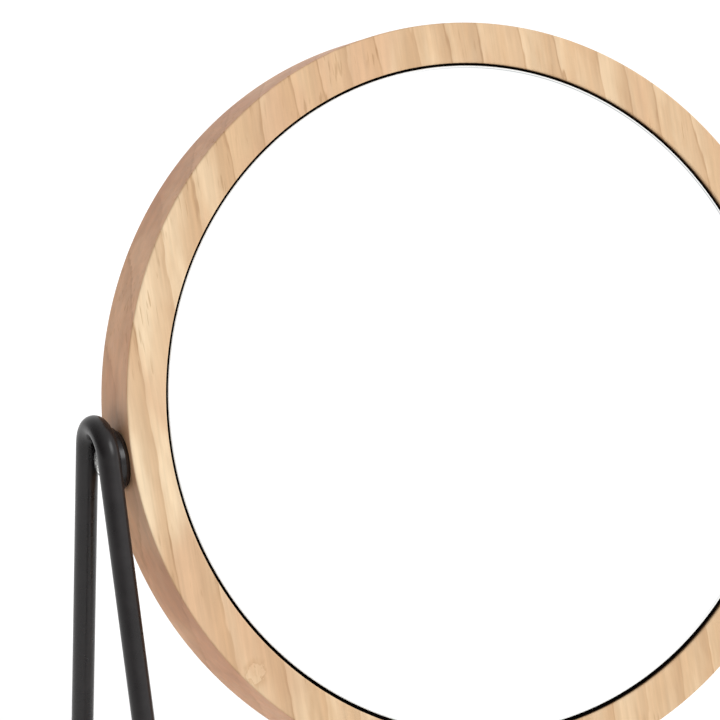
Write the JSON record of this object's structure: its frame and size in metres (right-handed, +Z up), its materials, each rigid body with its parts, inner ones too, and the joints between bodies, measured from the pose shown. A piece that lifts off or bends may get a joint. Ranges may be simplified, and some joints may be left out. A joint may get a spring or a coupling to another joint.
{
  "type": "tabletop swivel mirror",
  "caption": "Double-faced round mirror in a wooden ring, tilting between two bent-rod side frames joined by crossbars with clip-on rubber feet.",
  "frame": {"origin": "on the table, midway between the four feet, at the bottom centre of the object's box", "axes": "+X along the tilt axis to the user's right when facing the flat glass, +Y to the back, +Z up"},
  "size_m": [0.2062, 0.0858, 0.2437],
  "materials": {
    "black_powder_coat": "satin black powder coat on steel rod",
    "rubber_foot": "matte black moulded rubber",
    "ring_wood": "light rubberwood, clear matt lacquer",
    "mirror_glass": "silvered glass",
    "edge_liner": "matt black strip",
    "hardboard": "bare hardboard",
    "white_foam": "closed-cell foam",
    "insert_brass": "turned",
    "zinc_screw": "bright zinc plated",
    "washer_plastic": "matt black nylon"
  },
  "bodies": {
    "stand": {"left_side_frame": "black_powder_coat", "right_side_frame": "black_powder_coat", "front_crossbar": "black_powder_coat", "rear_crossbar": "black_powder_coat", "left_pivot_plate": "black_powder_coat", "right_pivot_plate": "black_powder_coat", "front_left_foot": "rubber_foot", "front_right_foot": "rubber_foot", "rear_left_foot": "rubber_foot", "rear_right_foot": "rubber_foot"},
    "mirror_head": {"frame_ring": "ring_wood", "front_glass": "mirror_glass", "rear_magnifying_glass": "mirror_glass", "front_edge_liner": "edge_liner", "rear_edge_liner": "edge_liner", "backing_board": "hardboard", "front_tape_ring": "white_foam", "front_foam_pad": "white_foam", "rear_tape_pad": "white_foam", "rear_cushion_ring": "white_foam", "left_threaded_insert": "insert_brass", "right_threaded_insert": "insert_brass", "left_pivot_screw": "zinc_screw", "right_pivot_screw": "zinc_screw", "left_friction_washer": "washer_plastic", "right_friction_washer": "washer_plastic"}
  },
  "joints": [
    {"name": "mirror_tilt", "type": "hinge", "parent": "stand", "child": "mirror_head", "pos_m": [0, 0, 0.15], "axis": [1, 0, 0], "continuous": true}
  ]
}
